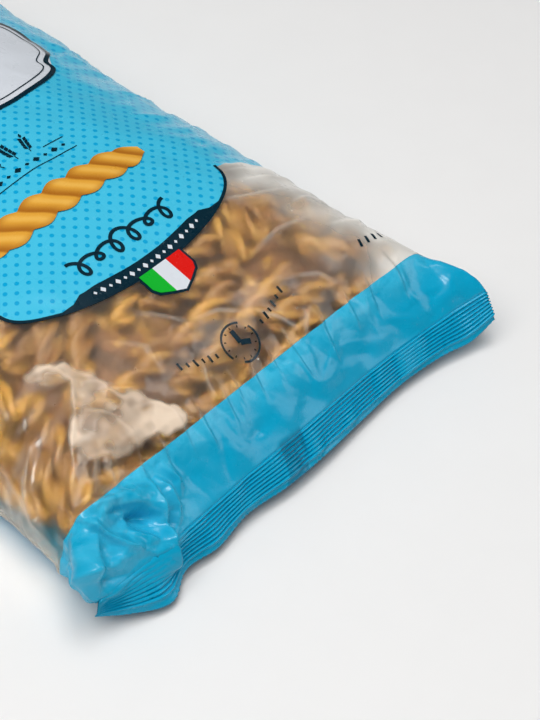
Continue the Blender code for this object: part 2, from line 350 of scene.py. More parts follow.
def tentRelief(s, l):
    height = np.zeros(s.shape)
    top = printLayout["bandTop"] + 1
    for place, half, point, tall in bandTents:
        spread = np.clip((l - point) / (top - point), 0, 1)
        u = (s - place) / np.maximum(half * spread, 0.05)
        face = np.clip((u + 1) / 1.2, 0, 1) * (1 - ease(u, 0.2, 0.55))
        height = np.maximum(height, tall * face * spread * (1 - ease(l, top, top + 7)))
    return height


def filmRelief(s, l, sideLine):
    # how far the film stands off its smooth form along its normal, and how white its creases are; that white is
    # partly stress whitening and partly painted highlight
    c = crumple
    edge = np.minimum(l, packShape["filmLength"] - l)
    body = ease(edge, *c["body"])
    slope = ease(np.abs(s), *c["slope"])
    under = ease(np.abs(s) - sideLine, *c["under"])
    loose = looseMask(s, l, c["looseEdge"])
    band = 1 - ease(edge, *c["band"])
    relief = c["lump"] * softNoise(s, l, c["lumpSize"], 3) * body
    relief += c["small"] * softNoise(s, l, c["smallSize"], 5) * body * (0.6 + 0.7 * slope + band)
    # sharp creases where two smooth waves cross
    warpS = s + c["warp"] * softNoise(s, l, c["warpSize"], 15)
    warpL = l + c["warp"] * softNoise(s, l, c["warpSize"], 16)
    waves = [softNoise(warpS, warpL * 0.8, c["creaseSize"], 21 + k) for k in range(4)]
    sharp = np.minimum(waves[0], waves[1]) + np.maximum(waves[2], waves[3])
    relief += c["crease"] * sharp * body * (0.32 + 0.4 * slope + 1.2 * band + c["looseGain"] * loose)
    corner = ease(-s, *c["cornerAcross"]) * (1 - ease(l, *c["cornerOut"])) * ease(l, *c["cornerIn"])
    bent, bentToo = warpS + 0.45 * warpL, warpL - 0.35 * warpS      # the facets lie askew
    for size, height, seed in c["facets"]:
        where = corner + c["facetsBand"] * band * body + c["facetsLoose"] * loose
        relief += height * facetNoise(bent, bentToo, size, seed) * where
    relief += tentRelief(s, l)
    # the seals buckle along their length
    seal = ease(edge, *c["sealIn"]) * (1 - ease(edge, *c["sealOut"]))
    relief += c["buckle"] * softNoise(s, l * 0.35, c["buckleSize"], 71) * seal
    relief += looseFilm["lift"] * loose
    # ripples down the steep sides
    wander = l + 3.5 * softNoise(s, l, 22, 11)
    ripple = np.sin(wander * 2 * math.pi / c["rippleSize"] + 2 * softNoise(s, l, 30, 12))
    ripple = c["ripple"] * ripple * slope * ease(edge, *c["rippleIn"])
    relief += ripple * (0.5 + 0.5 * softNoise(s, l, 26, 13))
    relief *= 1 - c["underFlat"] * under
    white = np.zeros(s.shape)
    for name, group in foldList.items():
        for fold in group:
            height, line = foldProfile(s, l, fold)
            relief += foldGain[name] * height * (1 - under) * ease(edge, *c["foldIn"])
            # white along raised creases: partly stress whitening, partly painted highlight on the clear film
            white = np.maximum(white, line * (fold[1] > 0))
    return relief, white


# rows along the film as start, end and step; points round it; teeth of the cut lips
gridPlan = {"rows": ((13.5, 35, 0.5), (35, 101, 0.55), (101, 222, 1.2)), "farStart": 222, "farStep": 1.0,
            "sealRows": (5, 10), "farSealRows": (4, 6), "top": 401, "low": 161}
lipTeeth = {"height": 0.13, "pitch": 1.9, "uneven": 0.9, "unevenSize": 6, "seed": 17, "base": 0.3}


def buildFilmGrid():
    print("film: sections")
    line = crestLine()
    p = packShape
    plain, deep = p["plainLip"], p["sealDepth"]
    g = gridPlan
    seal, farSeal = [np.concatenate([np.linspace(0, plain, lipRows)[:-1],
                                     np.linspace(plain, deep, p["ridges"] * ridgeRows + 1)])
                     for lipRows, ridgeRows in (g["sealRows"], g["farSealRows"])]
    rows = np.concatenate([
        seal, *[np.arange(*run) for run in g["rows"]],
        np.arange(g["farStart"], p["filmLength"] - deep - 0.5, g["farStep"]),
        p["filmLength"] - farSeal[::-1]])
    topCount, lowCount = g["top"], g["low"]
    grid, signed, sideLines = [], [], []
    for run in rows:
        up, low = filmSection(run, line)
        top, topS, topLength = evenPoints(up, topCount)
        bottom, lowS, lowLength = evenPoints(low, lowCount)
        grid.append(np.concatenate([top, bottom[-2:0:-1]]))
        # below, the distance goes on from the right side line, and past the middle
        # it comes back to the left one
        past = lowLength - lowS[-2:0:-1]
        below = np.where(past < lowLength / 2, topLength / 2 + past, past - lowLength - topLength / 2)
        signed.append(np.concatenate([topS - topLength / 2, below]))
        sideLines.append(topLength / 2)
    grid, signed, sideLines = np.array(grid), np.array(signed), np.array(sideLines)
    alongFilm = np.repeat(rows[:, None], grid.shape[1], 1)
    loop = np.concatenate([grid[:, -1:], grid, grid[:, :1]], 1)
    normal = np.cross(loop[:, 2:] - loop[:, :-2], np.gradient(grid, axis=0))
    normal /= np.linalg.norm(normal, axis=-1, keepdims=True) + 1e-9
    relief, white = filmRelief(signed, alongFilm, sideLines[:, None])
    moved = grid + normal * relief[..., None]
    t = lipTeeth
    for r in np.flatnonzero((rows < plain) | (rows > p["filmLength"] - plain)):
        edge = min(rows[r], p["filmLength"] - rows[r])
        x = moved[r, :, 0]
        tooth = t["height"] * (np.abs((x / t["pitch"]) % 1 - 0.5) * 4 - 1) * (1 - edge / plain)
        tooth *= 1 + t["uneven"] * softNoise(x, 0 * x, t["unevenSize"], t["seed"])
        moved[r, :, 1] += (tooth - t["base"]) * (1 if rows[r] > 100 else -1)
    moved[..., 2] = np.maximum(moved[..., 2], p["floorGap"])
    return rows, signed, moved, normal, sideLines, topCount, white


filmRows, filmAcross, filmPoints, filmNormals, sideLines, topCount, creaseWhiteAndGlint = buildFilmGrid()
print("film: grid", filmPoints.shape)


def onFilm(s, l, lift=0.0):
    # point on the upper film at film coordinates, lifted along its normal
    s, l = np.atleast_1d(np.asarray(s, float)), np.atleast_1d(np.asarray(l, float))
    r = np.clip(np.searchsorted(filmRows, l) - 1, 0, len(filmRows) - 2)
    tr = ((l - filmRows[r]) / (filmRows[r + 1] - filmRows[r]))[:, None]
    out = []
    for row in (r, r + 1):
        start, end = filmAcross[row, 0], filmAcross[row, topCount - 1]
        c = np.clip((s - start) / (end - start) * (topCount - 1), 0, topCount - 1.001)
        k = c.astype(int)
        tc = (c - k)[:, None]
        out.append([a[row, k] * (1 - tc) + a[row, k + 1] * tc for a in (filmPoints, filmNormals)])
    point = out[0][0] * (1 - tr) + out[1][0] * tr
    normal = out[0][1] * (1 - tr) + out[1][1] * tr
    return point + normal * lift


def shieldEdge(s):
    # lower edge of the printed shield, as film distance from the front lip
    q = printLayout
    t = np.clip(np.abs(np.asarray(s, float) - q["shieldCentre"]) / q["shieldHalf"], 0, 1)
    return q["shieldFoot"] + q["shieldDrop"] * (1 - np.sqrt(1 - t**2))


def addMesh(name, points, faces, material, uv=None, smooth=True):
    data = bpy.data.meshes.new(name)
    data.from_pydata([tuple(v) for v in np.asarray(points) * mm], [], faces)
    if uv is not None:
        layer = data.uv_layers.new(name="film")
        loops = np.zeros(len(data.loops), dtype=np.int64)
        data.loops.foreach_get("vertex_index", loops)
        flat = (np.asarray(uv)[loops] / packShape["filmLength"] + np.array([0.5, 0.0])).astype(np.float32)
        layer.data.foreach_set("uv", flat.ravel())
    data.polygons.foreach_set("use_smooth", [smooth] * len(data.polygons))
    data.update()
    piece = bpy.data.objects.new(name, data)
    scene.collection.objects.link(piece)
    for m in material if isinstance(material, list) else [material]:
        data.materials.append(m)
    return piece


# shader helpers
def newMaterial(name):
    material = bpy.data.materials.new(name)
    material.use_nodes = True
    tree = material.node_tree
    tree.nodes.clear()
    output = tree.nodes.new("ShaderNodeOutputMaterial")
    return material, tree, output


def mathNode(tree, operation, *values):
    node = tree.nodes.new("ShaderNodeMath")
    node.operation = operation
    for k, value in enumerate(values):
        if isinstance(value, (int, float)):
            node.inputs[k].default_value = value
        else:
            tree.links.new(value, node.inputs[k])
    return node.outputs[0]


def times(tree, a, b):
    return mathNode(tree, "MULTIPLY", a, b)


def flip(tree, a):
    return mathNode(tree, "MULTIPLY", a, -1.0)


def mixColor(tree, factor, a, b):
    node = tree.nodes.new("ShaderNodeMix")
    node.data_type = "RGBA"
    for socket, value in ((node.inputs[0], factor), (node.inputs[6], a), (node.inputs[7], b)):
        if hasattr(value, "is_output"):
            tree.links.new(value, socket)
        else:
            socket.default_value = value
    return node.outputs[2]


def ramp(tree, value, low, high):
    node = tree.nodes.new("ShaderNodeMapRange")
    node.interpolation_type = "SMOOTHSTEP"
    node.inputs["From Min"].default_value, node.inputs["From Max"].default_value = low, high
    tree.links.new(value, node.inputs["Value"])
    return node.outputs["Result"]


def srgb(r, g, b):
    shares = [c / 255 for c in (r, g, b)]
    return tuple(c / 12.92 if c < 0.0404 else ((c + 0.055) / 1.055) ** 2.4 for c in shares) + (1,)


# scales are waves to the millimetre; ranges say where scuff and dust start and are full
crinkleLook = {"detail": 3.0, "twist": 0.6, "broad": 0.09, "broadShare": 0.6, "uneven": 0.16,
               "scuffScale": 0.7, "scuffTwist": 1.5, "scuffRange": (0.6, 0.78), "speckScale": 0.16,
               "speckRange": (-0.055, -0.03)}


def buildCrinkleGroup():
    # film surface: fine crinkle height, uneven gloss, scuff and dust, over the film's own coordinates
    c = crinkleLook
    group = bpy.data.node_groups.new("filmCrinkle", "ShaderNodeTree")
    face = group.interface
    for name in ("Crinkle Size", "Gloss", "Gloss Spread", "Scuff Amount"):
        face.new_socket(name, in_out="INPUT", socket_type="NodeSocketFloat")
    for name in ("Height", "Roughness", "Scuff", "Speck"):
        face.new_socket(name, in_out="OUTPUT", socket_type="NodeSocketFloat")
    nodes, links = group.nodes, group.links
    given, result = nodes.new("NodeGroupInput"), nodes.new("NodeGroupOutput")
    uv = nodes.new("ShaderNodeUVMap")
    uv.uv_map = "film"
    millimetres = nodes.new("ShaderNodeVectorMath")
    millimetres.operation = "SCALE"
    millimetres.inputs["Scale"].default_value = packShape["filmLength"]
    links.new(uv.outputs[0], millimetres.inputs[0])
    place = millimetres.outputs[0]

    def noiseNode(scale, detail, distortion=0.0):
        node = nodes.new("ShaderNodeTexNoise")
        node.inputs["Detail"].default_value = detail
        node.inputs["Distortion"].default_value = distortion
        links.new(place, node.inputs["Vector"])
        if isinstance(scale, float):
            node.inputs["Scale"].default_value = scale
        else:
            links.new(scale, node.inputs["Scale"])
        return node.outputs["Fac"]

    waves = mathNode(group, "DIVIDE", 1.0, given.outputs["Crinkle Size"])
    crinkle = noiseNode(waves, c["detail"], c["twist"])
    sharp = mathNode(group, "ABSOLUTE", mathNode(group, "SUBTRACT", crinkle, 0.5))
    broad = times(group, noiseNode(c["broad"], 2.0), c["broadShare"])
    links.new(mathNode(group, "SUBTRACT", broad, sharp), result.inputs["Height"])
    uneven = mathNode(group, "SUBTRACT", noiseNode(c["uneven"], 4.0), 0.5)
    spread = times(group, uneven, given.outputs["Gloss Spread"])
    links.new(mathNode(group, "ADD", given.outputs["Gloss"], spread), result.inputs["Roughness"])
    scuff = ramp(group, noiseNode(c["scuffScale"], 6.0, c["scuffTwist"]), *c["scuffRange"])
    links.new(times(group, scuff, given.outputs["Scuff Amount"]), result.inputs["Scuff"])
    cells = nodes.new("ShaderNodeTexVoronoi")
    cells.inputs["Scale"].default_value = c["speckScale"]
    links.new(place, cells.inputs["Vector"])
    links.new(ramp(group, flip(group, cells.outputs["Distance"]), *c["speckRange"]), result.inputs["Speck"])
    return group


crinkleGroup = buildCrinkleGroup()


def filmSurface(tree, look):
    # printed or clear film: one Principled with the crinkle group on its bump and gloss
    shader = tree.nodes.new("ShaderNodeBsdfPrincipled")
    crinkle = tree.nodes.new("ShaderNodeGroup")
    crinkle.node_tree = crinkleGroup
    bump = tree.nodes.new("ShaderNodeBump")
    bump.inputs["Distance"].default_value = look["bumpDepth"] * mm
    for node, socket, key in ((crinkle, "Crinkle Size", "crinkleSize"), (crinkle, "Gloss", "roughness"),
                              (crinkle, "Gloss Spread", "spread"), (crinkle, "Scuff Amount", "scuff"),
                              (bump, "Strength", "bump"), (shader, "IOR", "ior"),
                              (shader, "Coat Weight", "coat"), (shader, "Coat Roughness", "coatRoughness")):
        node.inputs[socket].default_value = look[key]
    tree.links.new(crinkle.outputs["Height"], bump.inputs["Height"])
    tree.links.new(bump.outputs[0], shader.inputs["Normal"])
    tree.links.new(crinkle.outputs["Roughness"], shader.inputs["Roughness"])
    return shader, crinkle


inkLook = {"crinkleSize": 5.0, "roughness": 0.28, "spread": 0.10, "scuff": 0.07, "bump": 0.4,
           "bumpDepth": 0.14, "ior": 1.29, "coat": 0.16, "coatRoughness": 0.14}
inkColours = {
    # the paler third blue is a painted sheen for the band, not an ink of its own
    "sky": srgb(66, 190, 224), "band": srgb(0, 160, 200), "sheenBlue": srgb(78, 198, 232),
    "dot": srgb(0, 160, 210), "seam": srgb(0, 104, 140), "back": srgb(40, 172, 214),
    "navy": srgb(4, 38, 52), "white": srgb(214, 219, 226), "red": srgb(216, 20, 12), "green": srgb(14, 176, 44),
    "paleScuff": srgb(196, 222, 232),
}


def filmMaterial(name, colourOf, scuffed=True):
    # printed film in the colour that colourOf(tree, crinkle) gives
    material, tree, output = newMaterial(name)
    shader, crinkle = filmSurface(tree, inkLook)
    colour = colourOf(tree, crinkle)
    if scuffed:
        colour = mixColor(tree, crinkle.outputs["Scuff"], colour, inkColours["paleScuff"])
    tree.links.new(colour, shader.inputs["Base Color"])
    tree.links.new(shader.outputs[0], output.inputs["Surface"])
    return material


def inkMaterial(name, ink):
    return filmMaterial(name, lambda tree, crinkle: inkColours[ink])


dotPattern = {"pitch": 5.2, "radius": 0.78, "startS": -39.0, "startL": 103.2, "soft": 0.16}


def filmPlace(tree):
    uv = tree.nodes.new("ShaderNodeUVMap")
    uv.uv_map = "film"
    split = tree.nodes.new("ShaderNodeSeparateXYZ")
    tree.links.new(uv.outputs[0], split.inputs[0])
    size = packShape["filmLength"]
    return (times(tree, mathNode(tree, "SUBTRACT", split.outputs[0], 0.5), size),
            times(tree, split.outputs[1], size))


def fieldColour(tree, crinkle):
    # sky-blue field with a square lattice of darker dots set cornerwise
    s, l = filmPlace(tree)
    d = dotPattern
    masks = []
    for shift in (0.0, 0.5):
        offsets = []
        for value, start in ((s, d["startS"]), (l, d["startL"])):
            cell = mathNode(tree, "DIVIDE", mathNode(tree, "SUBTRACT", value, start), d["pitch"])
            cell = mathNode(tree, "FRACT", mathNode(tree, "ADD", cell, 0.5 + shift + 100))
            offsets.append(mathNode(tree, "POWER", mathNode(tree, "SUBTRACT", cell, 0.5), 2.0))
        away = times(tree, mathNode(tree, "SQRT", mathNode(tree, "ADD", *offsets)), -d["pitch"])
        masks.append(ramp(tree, away, -d["radius"] - d["soft"], -d["radius"] + d["soft"]))
    return mixColor(tree, mathNode(tree, "MAXIMUM", *masks), inkColours["sky"], inkColours["dot"])


windowLook = {"crinkleSize": 5.0, "roughness": 0.50, "spread": 0.08, "scuff": 0.5, "bump": 0.5,
              "bumpDepth": 0.25, "ior": 1.22, "coat": 0.3, "coatRoughness": 0.10, "sheen": 0.12,
              "tint": (0.98, 0.95, 0.88, 1), "shadowTint": (0.93, 0.92, 0.90, 1),
              "thickness": 0.1, "sink": 0.08}
# milky sheet over the clear film: real haze and dust, with painted highlight (cream) on the slack patch and
# raised creases, and painted reflection on the right slope
hazeHighlightLook = {"colour": srgb(250, 247, 240), "highlightCream": srgb(240, 218, 194), "highlightCreamAcross": (-30.0, 15.0),
            "cloud": 0.015, "right": 0.96, "rightStart": 44.0, "rightEnd": 82.0, "rightLean": 15,
            "leanAlong": (74, 98), "left": 0.6, "leftStart": 92.0, "leftEnd": 105.0, "loose": 0.76,
            "looseEdge": 1.1, "crease": 0.2, "speck": 0.8, "scuff": 0.15, "most": 0.94, "lift": 0.10}


def windowMaterial():
    # clear film that blurs what lies further behind it; lamps pass it so that the pasta is lit
    material, tree, output = newMaterial("clearFilm")
    shader = filmSurface(tree, windowLook)[0]
    shader.inputs["Base Color"].default_value = windowLook["tint"]
    shader.inputs["Transmission Weight"].default_value = 1.0
    shader.inputs["Specular IOR Level"].default_value = windowLook["sheen"]
    clear = tree.nodes.new("ShaderNodeBsdfTransparent")
    clear.inputs["Color"].default_value = windowLook["shadowTint"]
    path = tree.nodes.new("ShaderNodeLightPath")
    mix = tree.nodes.new("ShaderNodeMixShader")
    tree.links.new(path.outputs["Is Shadow Ray"], mix.inputs[0])
    tree.links.new(shader.outputs[0], mix.inputs[1])
    tree.links.new(clear.outputs[0], mix.inputs[2])
    tree.links.new(mix.outputs[0], output.inputs["Surface"])
    return material


def makeHazeHighlightMaterial():
    # milky film over the clear window, as thick as its attribute says: real haze and dust, with painted
    # highlight and painted reflection in it; cream on the left, where it paints the slack patch's highlight
    h = hazeHighlightLook
    material, tree, output = newMaterial("filmHazeAndHighlight")
    shader, crinkle = filmSurface(tree, inkLook)
    side = ramp(tree, filmPlace(tree)[0], *h["highlightCreamAcross"])
    tree.links.new(mixColor(tree, side, h["highlightCream"], h["colour"]), shader.inputs["Base Color"])
    amount = tree.nodes.new("ShaderNodeAttribute")
    amount.attribute_name = "hazeAndHighlight"
    dust = times(tree, crinkle.outputs["Speck"], h["speck"])
    fine = times(tree, crinkle.outputs["Scuff"], h["scuff"])
    thick = mathNode(tree, "ADD", mathNode(tree, "ADD", amount.outputs["Fac"], dust), fine)
    tree.links.new(mathNode(tree, "MINIMUM", thick, 0.95), shader.inputs["Alpha"])
    tree.links.new(shader.outputs[0], output.inputs["Surface"])
    return material


# the overlap of the tube's back seam, seen through the end seal, and a painted sheen: a paler blue on the
# crinkle crests near the band's top border and in the near corner
bandLook = {"seamLean": -0.1, "seamLeft": (-9.2, -8.4), "seamRight": (-1.6, -0.8),
            "seamEnd": (-15.5, -12.5), "seamShare": 0.55, "border": (22.0, 36.0), "corner": (30.0, 60.0), "cornerStart": (12.0, 16.0),
            "cornerSheenShare": 0.55, "sheenGain": 2.0}


def bandColour(tree, crinkle):
    b = bandLook
    s, l = filmPlace(tree)
    lean = mathNode(tree, "ADD", s, times(tree, l, b["seamLean"]))
    seam = times(tree, ramp(tree, lean, *b["seamLeft"]), ramp(tree, flip(tree, lean), *b["seamRight"]))
    seam = times(tree, seam, ramp(tree, flip(tree, l), *b["seamEnd"]))
    corner = times(tree, ramp(tree, flip(tree, s), *b["corner"]), b["cornerSheenShare"])
    corner = times(tree, corner, ramp(tree, l, *b["cornerStart"]))
    # painted sheen: towards the top border and in the near corner the crinkle crests are mixed towards a paler
    # blue
    pale = mathNode(tree, "MAXIMUM", ramp(tree, l, *b["border"]), corner)
    pale = times(tree, times(tree, pale, crinkle.outputs["Height"]), b["sheenGain"])
    colour = mixColor(tree, pale, inkColours["band"], inkColours["sheenBlue"])
    return mixColor(tree, times(tree, seam, b["seamShare"]), colour, inkColours["seam"])


bandMaterial = filmMaterial("bandFilm", bandColour)
backMaterial = inkMaterial("backFilm", "back")
skyMaterial = filmMaterial("printedField", fieldColour)
clearMaterial = windowMaterial()
hazeHighlightMaterial = makeHazeHighlightMaterial()


def dress(piece, replaces=False):
    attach(piece, "root")
    if replaces:
        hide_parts("packet")
    return piece


def filmFaces():
    # quads of the whole tube, sorted by the film they are printed on
    q = printLayout
    rows, count = filmAcross.shape
    s, l = filmAcross.copy(), np.repeat(filmRows[:, None], count, 1)
    points = filmPoints.copy()
    top = np.arange(count) < topCount
    # pull grid points near the shield's edge onto it, so that film and window meet on a clean line
    near = np.abs(s - q["shieldCentre"]) < q["shieldHalf"]
    near &= top[None, :] & (np.abs(l - shieldEdge(s)) < q["snap"])
    target = shieldEdge(s[near])
    points[near] = onFilm(s[near], target)
    l[near] = target
    a = np.arange(rows - 1)[:, None] * count + np.arange(count)[None, :]
    b = np.arange(rows - 1)[:, None] * count + (np.arange(count)[None, :] + 1) % count
    quads = np.stack([a, b, b + count, a + count], -1)
    middle = ((filmRows[1:] + filmRows[:-1]) / 2)[:, None] + np.zeros((1, count))
    nextS, nextL = np.roll(s, -1, 1), np.roll(l, -1, 1)
    # a quad whose ends lie far apart closes the round on the back
    around = np.where(np.abs(s - nextS) > 60, 999.0, (s + nextS) / 2)[:-1]
    heights = (l[:-1] + nextL[:-1] + l[1:] + nextL[1:]) / 4
    onBack = np.abs(around) > sideLines[:-1, None] + q["backStart"]
    inShield = np.abs(around - q["shieldCentre"]) < q["shieldHalf"]
    start = np.where(inShield, shieldEdge(around), q["fieldEdge"])
    band = (middle < q["bandTop"]) | (middle > q["farBand"])
    # 0 band, 1 field, 2 back, 3 window
    kind = np.where(heights > np.minimum(start, q["fieldEdge"]), 1, 3)
    kind = np.where(band, 0, np.where(onBack, 2, kind))
    return points.reshape(-1, 3), np.stack([s, l], -1).reshape(-1, 2), quads.reshape(-1, 4), kind.ravel()


def lipFaces(rows, count):
    # narrow faces that close both cut lips
    low = count - topCount + 2
    faces = []
    for r in (0, rows - 1):
        twin = [round(count - 1 - (c / (topCount - 1)) * (low - 1) + 1) % count for c in range(topCount)]
        for c in range(topCount - 1):
            ring = [r * count + v for v in (c, c + 1, twin[c + 1], twin[c])]
            ring = list(dict.fromkeys(ring))
            if len(ring) > 2:
                faces.append(tuple(ring if r == rows - 1 else ring[::-1]))
    return faces


def compact(points, faces, uv):
    # drops the points that no face uses
    used = np.unique(np.concatenate([np.ravel(f) for f in faces]))
    index = np.full(len(points), -1)
    index[used] = np.arange(len(used))
    return points[used], [tuple(index[list(f)].tolist()) for f in faces], uv[used], used


def buildFilm():
    points, uv, quads, kind = filmFaces()
    rows, count = filmAcross.shape
    lips = lipFaces(rows, count)
    verts, faces, coords, used = compact(points, [tuple(f) for f in quads[kind < 3].tolist()] + lips, uv)
    film = addMesh("film_printed", verts, faces, [bandMaterial, skyMaterial, backMaterial], coords)
    film.data.polygons.foreach_set("material_index", kind[kind < 3].tolist() + [0] * len(lips))
    # the clear film runs one quad on under the print, so that its edge is hidden
    clear = (kind == 3).reshape(rows - 1, count)
    wide = clear.copy()
    wide[1:] |= clear[:-1]
    wide[:-1] |= clear[1:]
    sunk = points - filmNormals.reshape(-1, 3) * windowLook["sink"]
    verts, faces, coords, used = compact(sunk, [tuple(f) for f in quads[wide.ravel()].tolist()], uv)
    window = addMesh("film_window", verts, faces, clearMaterial, coords)
    thick = window.modifiers.new("thickness", "SOLIDIFY")
    thick.thickness = windowLook["thickness"] * mm
    thick.offset = -1
    # a milky sheet just above the clear film; its amount mixes real haze with painted highlight and painted
    # reflection
    verts, faces, coords, used = compact(points, [tuple(f) for f in quads[kind == 3].tolist()], uv)
    lifted = verts + filmNormals.reshape(-1, 3)[used] * hazeHighlightLook["lift"]
    hazeHighlightSheet = addMesh("film_haze_and_highlight", lifted, faces, hazeHighlightMaterial, coords)
    amount = hazeAndHighlightAmount(coords[:, 0], coords[:, 1], creaseWhiteAndGlint.ravel()[used])
    layer = hazeHighlightSheet.data.color_attributes.new("hazeAndHighlight", "FLOAT_COLOR", "POINT")
    layer.data.foreach_set("color", np.repeat(amount[:, None], 4, 1).astype(np.float32).ravel())
    dress(film, replaces=True)
    dress(window)
    dress(hazeHighlightSheet)


def hazeAndHighlightAmount(s, l, white):
    # how milky the clear film is: most down the sides, where it stands off the pasta and on the right slope
    # also paints the reflection of the bright surroundings; a painted highlight where it hangs loose; and white
    # along its creases, partly stress whitening and partly painted highlight
    h = hazeHighlightLook
    # right strip: partly real haze where the film stands off the pasta, partly a painted reflection of the
    # bright surroundings on this grazing slope
    lean = h["rightLean"] * ease(l, *h["leanAlong"])
    right = s + lean + 6 * softNoise(s, l, 16, 51) + 3 * softNoise(s, l, 6, 52)
    right = ease(right, h["rightStart"], h["rightEnd"])
    right *= 0.8 + 0.3 * softNoise(s * 0.5, l, 7, 53)
    left = ease(-s + 3 * softNoise(s, l, 12, 54), h["leftStart"], h["leftEnd"])
    # painted highlight: the slack patch is made milky cream where the lamp's reflection would fall
    loose = looseMask(s, l, h["looseEdge"])
    loose = loose * (0.85 + 0.7 * softNoise(s, l, 8, 55) + 0.35 * softNoise(s, l, 3, 57))
    cloud = 0.5 + 0.5 * softNoise(s, l, 20, 56)
    amount = h["cloud"] * cloud + h["right"] * right + h["left"] * left + h["loose"] * loose
    # white along raised creases: partly stress whitening, partly painted highlight
    return np.clip(amount + h["crease"] * white, 0, h["most"])


print("film: pieces")
buildFilm()

# printed motifs: flat outlines in film millimetres, cut into a fine grid and laid on the film
motif = {"step": 0.7, "lift": 0.24}


def layMotif(name, outlines, material, layer=1):
    # outlines: closed loops of (s, l), each filled, cut into a grid and laid on the film;
    # layer 2 lies on layer 1
    mesh = bmesh.new()
    for loop in outlines:
        verts = [mesh.verts.new((a, b, 0)) for a, b in loop]
        mesh.faces.new(verts)
    bmesh.ops.triangulate(mesh, faces=mesh.faces[:], ngon_method="EAR_CLIP")
    low = [min(v.co[k] for v in mesh.verts) for k in range(2)]
    high = [max(v.co[k] for v in mesh.verts) for k in range(2)]
    for k, axis in ((0, (1, 0, 0)), (1, (0, 1, 0))):
        cut = math.floor(low[k] / motif["step"]) * motif["step"] + motif["step"]
        while cut < high[k]:
            plane = [0, 0, 0]
            plane[k] = cut
            parts = mesh.verts[:] + mesh.edges[:] + mesh.faces[:]
            bmesh.ops.bisect_plane(mesh, geom=parts, dist=1e-5, plane_co=plane, plane_no=axis)
            cut += motif["step"]
    bmesh.ops.remove_doubles(mesh, verts=mesh.verts[:], dist=1e-4)
    bmesh.ops.recalc_face_normals(mesh, faces=mesh.faces[:])
    flat = np.array([v.co[:2] for v in mesh.verts])
    mesh.verts.index_update()
    faces = []
    for f in mesh.faces:
        ring = [v.index for v in f.verts]
        sides = zip(ring, ring[1:] + ring[:1])
        area = sum(flat[a][0] * flat[b][1] - flat[b][0] * flat[a][1] for a, b in sides)
        faces.append(tuple(ring if area > 0 else ring[::-1]))
    mesh.free()
    place = onFilm(flat[:, 0], flat[:, 1], motif["lift"] * layer)
    dress(addMesh(name, place, faces, material, flat))


def between(a, b):
    # a row of quads between two lines
    return [[a[k], a[k + 1], b[k + 1], b[k]] for k in range(len(a) - 1)]


def strips(path, width):
    # a line of even width along a path, as a row of short quads
    points = [Vector(p) for p in path]
    left, right = [], []
    for k, p in enumerate(points):
        way = (points[min(k + 1, len(points) - 1)] - points[max(k - 1, 0)]).normalized()
        side = Vector((-way.y, way.x)) * width / 2
        left.append(tuple(p + side))
        right.append(tuple(p - side))
    return between(left, right)


def ray(centre, radius, degrees):
    turn = math.radians(degrees)
    return centre[0] + radius * math.cos(turn), centre[1] + radius * math.sin(turn)


def arc(centre, radius, start, end, count=24):
    return [ray(centre, radius, start + (end - start) * k / count) for k in range(count + 1)]


navyInk, whiteInk = inkMaterial("navyInk", "navy"), inkMaterial("whiteInk", "white")
redInk, greenInk = inkMaterial("redInk", "red"), inkMaterial("greenInk", "green")

# dark line round the window and the banner that follows it; distances from the shield's edge
banner = {"stroke": 1.1, "lineUnder": 0.35, "endOut": 0.2, "endUp": 0.8, "half": 27.0, "thick": 5.3,
          "under": 0.5, "droop": 0.9, "droopStart": 20, "tail": (37, -0.3), "tailTop": (31, 1.8),
          "lozenges": 17, "margin": 4, "lozengeSizes": ((0.6, 0.7), (0.95, 1.15))}


def buildShieldEdge():
    q, b = printLayout, banner
    centre = q["shieldCentre"]
    edgeAt = lambda s, up: (s, float(shieldEdge(s)) + up)
    across = [centre + q["shieldHalf"] * math.sin(math.radians(a)) for a in range(-88, 89, 4)]
    line = [edgeAt(s, -b["lineUnder"]) for s in across]
    out = q["shieldHalf"] + b["endOut"]
    ends = [(centre + side * out, q["fieldEdge"] + b["endUp"]) for side in (-1, 1)]
    layMotif("print_edge", strips([ends[0]] + line + [ends[1]], b["stroke"]), navyInk)
    spots = np.linspace(-b["half"], b["half"], 37)
    lower = [edgeAt(centre + s, -b["under"]) for s in spots]
    droop = [b["droop"] * float(ease(abs(s), b["droopStart"], b["half"])) for s in spots]
    upper = [edgeAt(centre + s, b["thick"] - d) for s, d in zip(spots, droop)]
    tips = [[edgeAt(centre + side * out, up) for out, up in (b["tail"], b["tailTop"])] for side in (-1, 1)]
    quads = between(lower, upper)
    quads.append([tips[0][0], lower[0], upper[0], tips[0][1]])
    quads.append([lower[-1], tips[1][0], tips[1][1], upper[-1]])
    layMotif("print_banner", quads, navyInk)
    marks = []
    for k in range(b["lozenges"]):
        s = centre + (k / (b["lozenges"] - 1) - 0.5) * 2 * (b["half"] - b["margin"])
        l = float(shieldEdge(s)) + b["thick"] / 2 - 0.2
        tilt = (float(shieldEdge(s + 1)) - float(shieldEdge(s - 1))) / 2
        w, h = b["lozengeSizes"][k % 2]
        marks.append([(s - w, l - w * tilt), (s, l - h), (s + w, l + w * tilt), (s, l + h)])
    layMotif("print_lozenges", marks, whiteInk, 2)


# small shield in three colours; its right side as shares of half width and depth
badge = {"shift": 1.0, "up": 0.4, "half": 10.0, "depth": 13.0, "rim": 0.9,
         "side": ((1, 0), (1, 0.5), (0.86, 0.68), (0.42, 0.86), (0, 1))}


